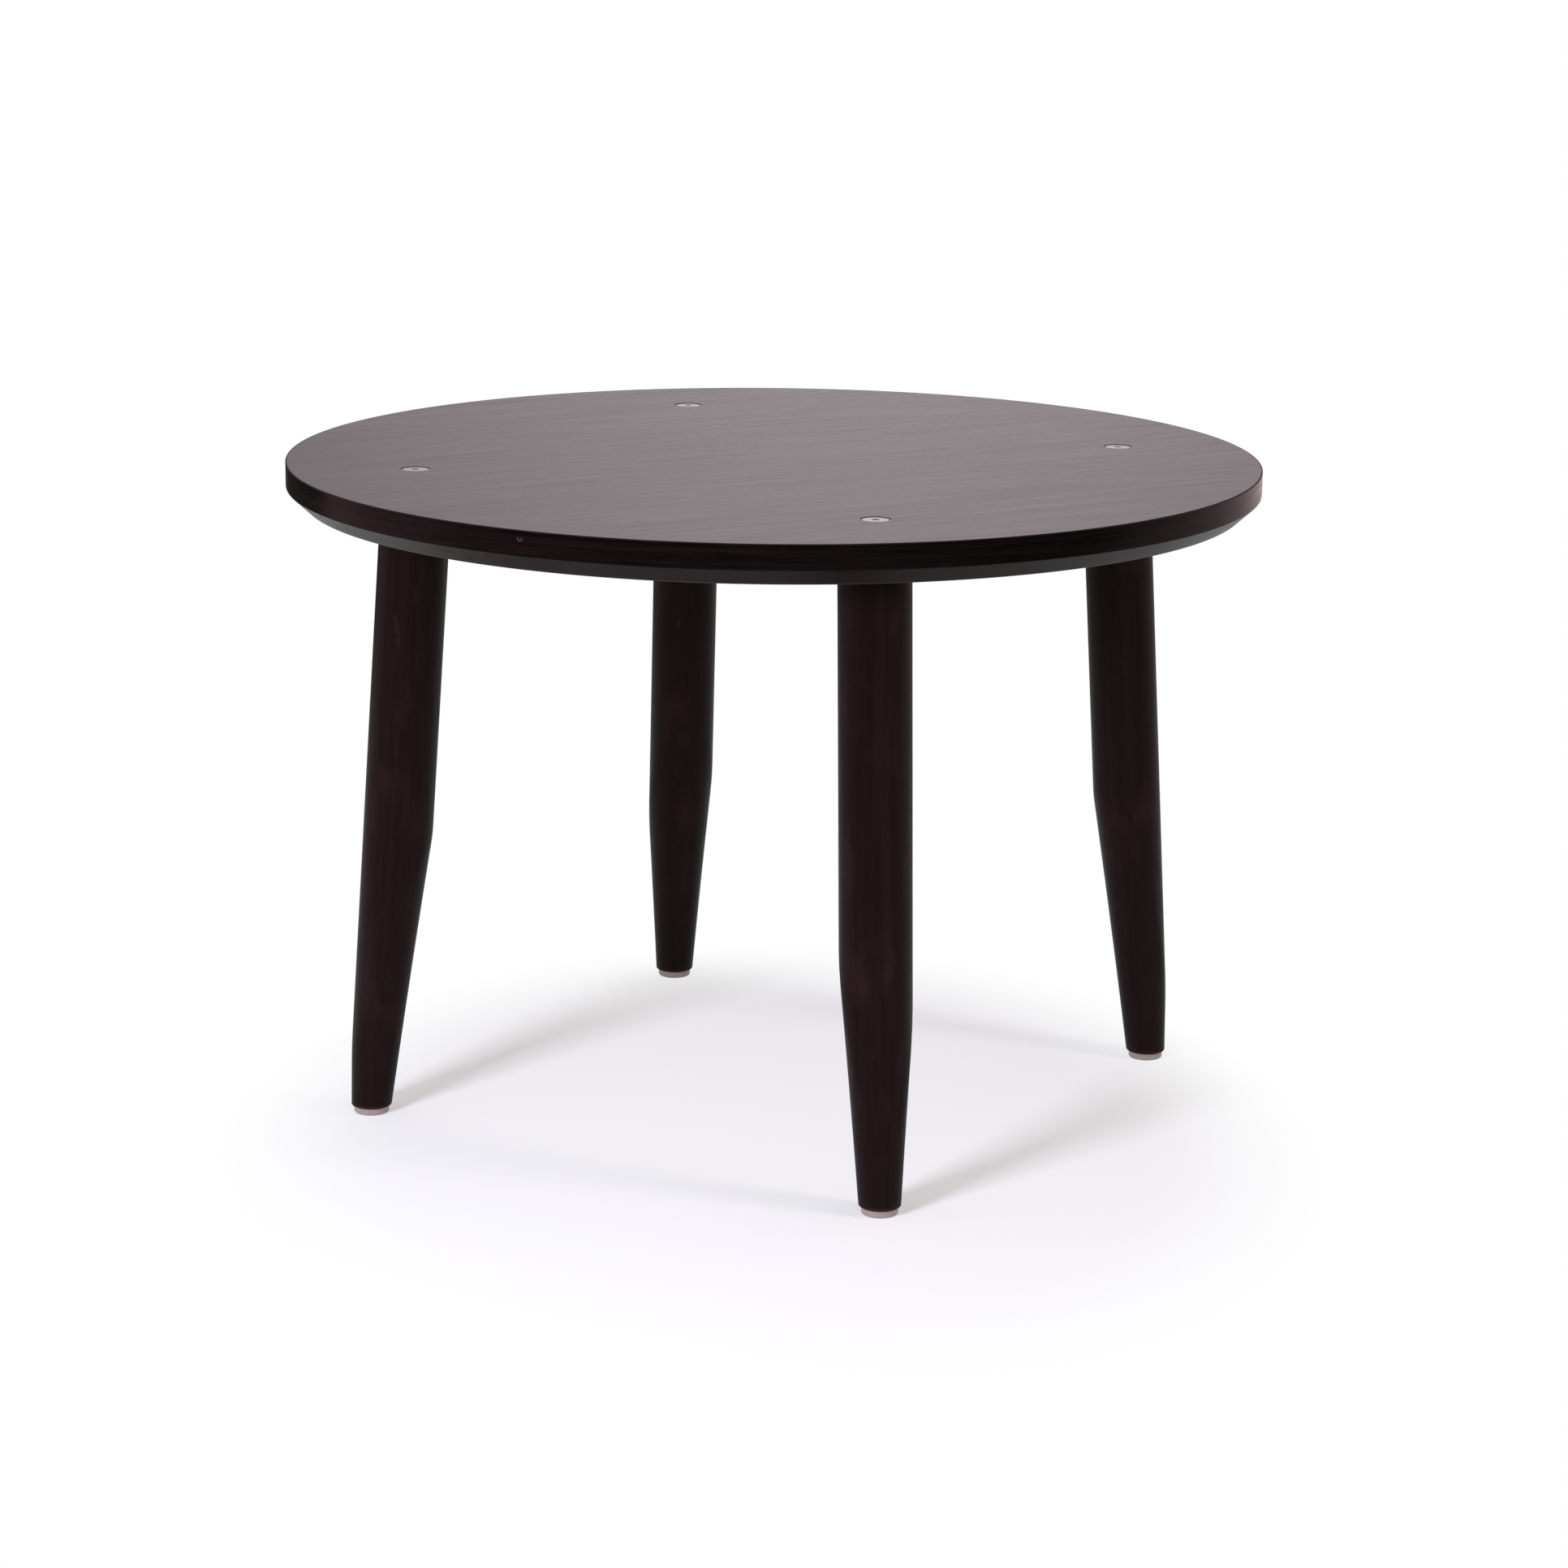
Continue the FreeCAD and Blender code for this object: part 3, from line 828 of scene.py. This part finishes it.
FLUTES = 16
FLUTE_DEPTH = 0.3 * MILLIMETRE
FLUTE_POINTS = 8
DOWEL_EASE = 0.8 * MILLIMETRE


def fluted(radius):
    """The outline of a round piece with flutes in it."""
    return lambda angle: radius - FLUTE_DEPTH * max(math.cos(FLUTES * angle), 0)


def dowel_piece(corner):
    side = fluted(DOWEL.radius)
    end = fluted(DOWEL.radius - DOWEL_EASE)
    sections = [
        (end, DOWEL.base),
        (side, DOWEL.base + DOWEL_EASE),
        (side, DOWEL.top - DOWEL_EASE),
        (end, DOWEL.top),
    ]
    mesh = turned(sections, FLUTES * FLUTE_POINTS)
    node = f"leg_dowel_{corner}"
    piece_from(mesh, f"dowel_{corner}", dowel_beech, node, Span(node).place)


# The glides and their nails


GLIDE_EASE = 1.2 * MILLIMETRE
GLIDE_LIP_EASE = 0.3 * MILLIMETRE
RECESS_RADIUS = 3.3 * MILLIMETRE
NAIL_HEAD_HEIGHT = 1 * MILLIMETRE
NAIL_SEAT = NAIL.base + NAIL_HEAD_HEIGHT
NAIL_DOME = 0.5 * MILLIMETRE
NAIL_DOME_STEPS = 8
NAIL_RADIUS = 1.25 * MILLIMETRE
NAIL_POINT = 3 * MILLIMETRE
NAIL_TIP_RADIUS = 0.05 * MILLIMETRE
NAIL_RINGS = 8
NAIL_RING_DEPTH = 0.15 * MILLIMETRE
NAIL_RING_PITCH = 1 * MILLIMETRE
NAIL_RING_SLOPE = 0.8 * MILLIMETRE


def glide_piece(corner):
    profile = eased([
        (NAIL_HOLE_RADIUS, FOOT, 0),
        (GLIDE.radius, FOOT, GLIDE_LIP_EASE),
        (GLIDE.radius, GLIDE.base, GLIDE_EASE),
        (RECESS_RADIUS, GLIDE.base, GLIDE_LIP_EASE),
        (RECESS_RADIUS, NAIL_SEAT, 0),
        (NAIL_HOLE_RADIUS, NAIL_SEAT, 0),
    ])
    mesh = turned(profile, LEG_SEGMENTS, closed=True)
    node = f"foot_glide_{corner}"
    piece_from(mesh, f"glide_{corner}", glide_nylon, node, Span(node).place)


def nail_piece(corner):
    profile = []
    for step in range(1, NAIL_DOME_STEPS + 1):
        share = step / NAIL_DOME_STEPS
        profile.append((NAIL.radius * share, NAIL.base + NAIL_DOME * share ** 2))
    profile += [(NAIL.radius, NAIL_SEAT), (NAIL_RADIUS, NAIL_SEAT)]
    grip = NAIL.top - NAIL_POINT - NAIL_RINGS * NAIL_RING_PITCH
    for groove in range(NAIL_RINGS):
        start = grip + groove * NAIL_RING_PITCH
        profile.append((NAIL_RADIUS, start))
        profile.append((NAIL_RADIUS - NAIL_RING_DEPTH, start + NAIL_RING_SLOPE))
    profile += [(NAIL_RADIUS, NAIL.top - NAIL_POINT), (NAIL_TIP_RADIUS, NAIL.top)]
    mesh = turned(profile, HOLE_SEGMENTS)
    node = f"glide_nail_{corner}"
    piece_from(mesh, f"nail_{corner}", steel, node, Span(node).place)


# All the pieces


face_piece()
lipping_piece()
backing_piece()
for number, corner in enumerate(CORNERS):
    leg_piece(corner, number)
    bolt_piece(corner, BOLT_TURNS[number])
    insert_piece(corner)
    dowel_piece(corner)
    glide_piece(corner)
    nail_piece(corner)

# The core is closed in on all sides, so it keeps its CAD mesh
core_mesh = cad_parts["top_core"].data
core_mesh.materials.clear()
core_mesh.materials.append(fibreboard)


# The camera, at the photo's angle


IMAGE_SIDE = 1932
FOCAL_LENGTH_IN_PIXELS = 5163
# In millimetres, as Blender takes it
SENSOR_WIDTH = 36.0
# Where the camera stands, seen from the middle of the top, and how it turns from looking straight there
CAMERA_AZIMUTH = 30.06
CAMERA_ELEVATION = 9.114
CAMERA_DISTANCE = 2.6384
CAMERA_YAW = -0.18
CAMERA_PITCH = -4.457
CAMERA_ROLL = -0.61


def outward(azimuth, elevation):
    """A direction seen from the table. Azimuth 0 is towards -Y, and 90 towards +X."""
    turn, lift = math.radians(azimuth), math.radians(elevation)
    return Vector((math.sin(turn) * math.cos(lift), -math.cos(turn) * math.cos(lift), math.sin(lift)))


def back_along(away):
    """The turn that makes a camera or a lamp look back along a direction."""
    return (-away).to_track_quat("-Z", "Y").to_matrix()


def make_camera():
    data = bpy.data.cameras.new("photo_camera")
    data.sensor_width = SENSOR_WIDTH
    data.lens = FOCAL_LENGTH_IN_PIXELS / IMAGE_SIDE * SENSOR_WIDTH
    camera = add_object("photo_camera", data)
    away = outward(CAMERA_AZIMUTH, CAMERA_ELEVATION)
    aim = back_along(away)
    for angle, axis in ((CAMERA_YAW, "Y"), (CAMERA_PITCH, "X"), (-CAMERA_ROLL, "Z")):
        aim = aim @ Matrix.Rotation(math.radians(angle), 3, axis)
    place = Vector((0, 0, TOP)) + away * CAMERA_DISTANCE
    camera.matrix_world = Matrix.Translation(place) @ aim.to_4x4()
    bpy.context.scene.camera = camera


# Light and floor. Azimuths here are from the camera's own, positive to its right.


# Each lamp has its azimuth, elevation, power and colour: a cool key light, and a white fill
LAMP_DISTANCE = 2.4
LAMP_SIZE = 0.5
LAMPS = {
    "key_softbox": (-35, 23, 58, (0.77, 0.86, 1.0)),
    "fill_softbox": (65, 24, 15, (1.0, 1.0, 1.0)),
}


def make_lamp(name, azimuth, elevation, power, colour):
    """A lamp that doesn't show in reflections, because they see the panels of the world instead."""
    data = bpy.data.lights.new(name, "AREA")
    data.shape = "SQUARE"
    data.size = LAMP_SIZE
    data.energy = power
    data.color = colour
    lamp = add_object(name, data)
    lamp.visible_glossy = False
    away = outward(CAMERA_AZIMUTH + azimuth, elevation)
    lamp.matrix_world = Matrix.Translation(away * LAMP_DISTANCE) @ back_along(away).to_4x4()


WHITE = (1, 1, 1, 1)
FLOOR_RADIUS = 1.6
FLOOR_WHITE = (0.95, 0.885, 0.89, 1.0)
# The lit pool on the floor, nearer to the camera than the table: its reach across the view and along it, the
# shares of that reach between which it fades to plain white, and how much plain white is in its middle
POOL_SHIFT = 0.13
POOL_REACH = (0.37, 0.48)
POOL_FADE = (0.6, 0.97)
POOL_GLOW = 0.27


def floor_paint():
    """Matt white that takes light and shadow in the pool, and is plain white beyond it."""
    paint = Surface("floor_white")
    paint.tree.nodes.remove(paint.shader)
    across = paint.vector("DIVIDE", paint.place(), (*POOL_REACH, 1))
    fade = paint.between(paint.vector("LENGTH", across), *POOL_FADE, POOL_GLOW, 1.0)
    matt = paint.add("BsdfDiffuse", {"Color": FLOOR_WHITE})
    glow = paint.add("Emission", {"Color": WHITE, "Strength": 1.0})
    share = paint.math("MULTIPLY", fade, paint.seen_rays())
    lit = paint.add("MixShader", {0: share, 1: matt, 2: glow})
    # From below the camera sees through the floor, to the table's underside
    below = paint.math("MULTIPLY", paint.camera_rays(), paint.add("NewGeometry", {}, "Backfacing"))
    clear = paint.add("BsdfTransparent", {})
    seen = paint.add("MixShader", {0: below, 1: lit, 2: clear})
    paint.put(paint.tree.nodes["Material Output"].inputs["Surface"], seen)
    return paint.material


def make_floor():
    mesh = bmesh.new()
    mesh.faces.new(ring(mesh, loop(FLOOR_RADIUS, 0, RIM_SEGMENTS)))
    data = mesh_data("floor", mesh)
    data.materials.append(floor_paint())
    floor = add_object("floor", data)
    facing = Matrix.Rotation(math.radians(CAMERA_AZIMUTH), 4, "Z")
    floor.matrix_world = facing @ Matrix.Translation((0, -POOL_SHIFT, 0))


# What reflections see: a room that is dark low down, and bright panels in it.
# Each panel has its azimuth, the angles from its middle where it starts and ends to fade, how high it reaches
# (1 is overhead), and its colour. The low ones show in the table's edge and legs, and not in its face.
ROOM_LOW = 0.04
ROOM_HIGH = 0.35
ROOM_RISE = (0.05, 0.2)
PANELS = (
    (178.5, 0, 21, 1.0, (0.9, 0.82, 0.85)),
    (130, 37, 52, 0.05, (1.0, 0.77, 0.79)),
    (-102, 20, 29, 0.05, (0.95, 0.62, 0.56)),
)
PANEL_TOP_FADE = 0.1
# The light that is all round the table: from low down rather than from overhead
AMBIENT_LOW = 0.86
AMBIENT_HIGH = 0.09
AMBIENT_FALL = (0.6, 0.92)


def make_world():
    """White for the camera, panels in a dim room for reflections, and soft low light on the object."""
    world = bpy.data.worlds.new("studio")
    world.use_nodes = True
    bpy.context.scene.world = world
    sky = Nodes(world.node_tree)
    direction = sky.place("Generated")
    heading = sky.vector("NORMALIZE", sky.level(direction))
    height = sky.parts(direction)["Z"]
    reflected = sky.between(height, *ROOM_RISE, ROOM_LOW, ROOM_HIGH)
    for azimuth, inner, outer, reach, colour in PANELS:
        middle = outward(CAMERA_AZIMUTH + azimuth, 0)
        aside = sky.math("ARCCOSINE", sky.vector("DOT_PRODUCT", heading, middle))
        across = sky.between(aside, math.radians(inner), math.radians(outer), 1.0, 0.0)
        up = sky.between(height, reach, reach + PANEL_TOP_FADE, 1.0, 0.0)
        panel = sky.vector("MULTIPLY", sky.math("MULTIPLY", across, up), colour)
        reflected = sky.vector("MAXIMUM", reflected, panel)
    ambient = sky.between(height, *AMBIENT_FALL, AMBIENT_LOW, AMBIENT_HIGH)
    lighting = sky.blend(sky.seen_rays(), ambient, reflected)
    background = sky.blend(sky.camera_rays(), lighting, WHITE)
    sky.put(world.node_tree.nodes["Background"].inputs["Color"], background)


make_camera()
make_floor()
make_world()
for name, settings in LAMPS.items():
    make_lamp(name, *settings)
bpy.context.scene.view_settings.view_transform = "Standard"
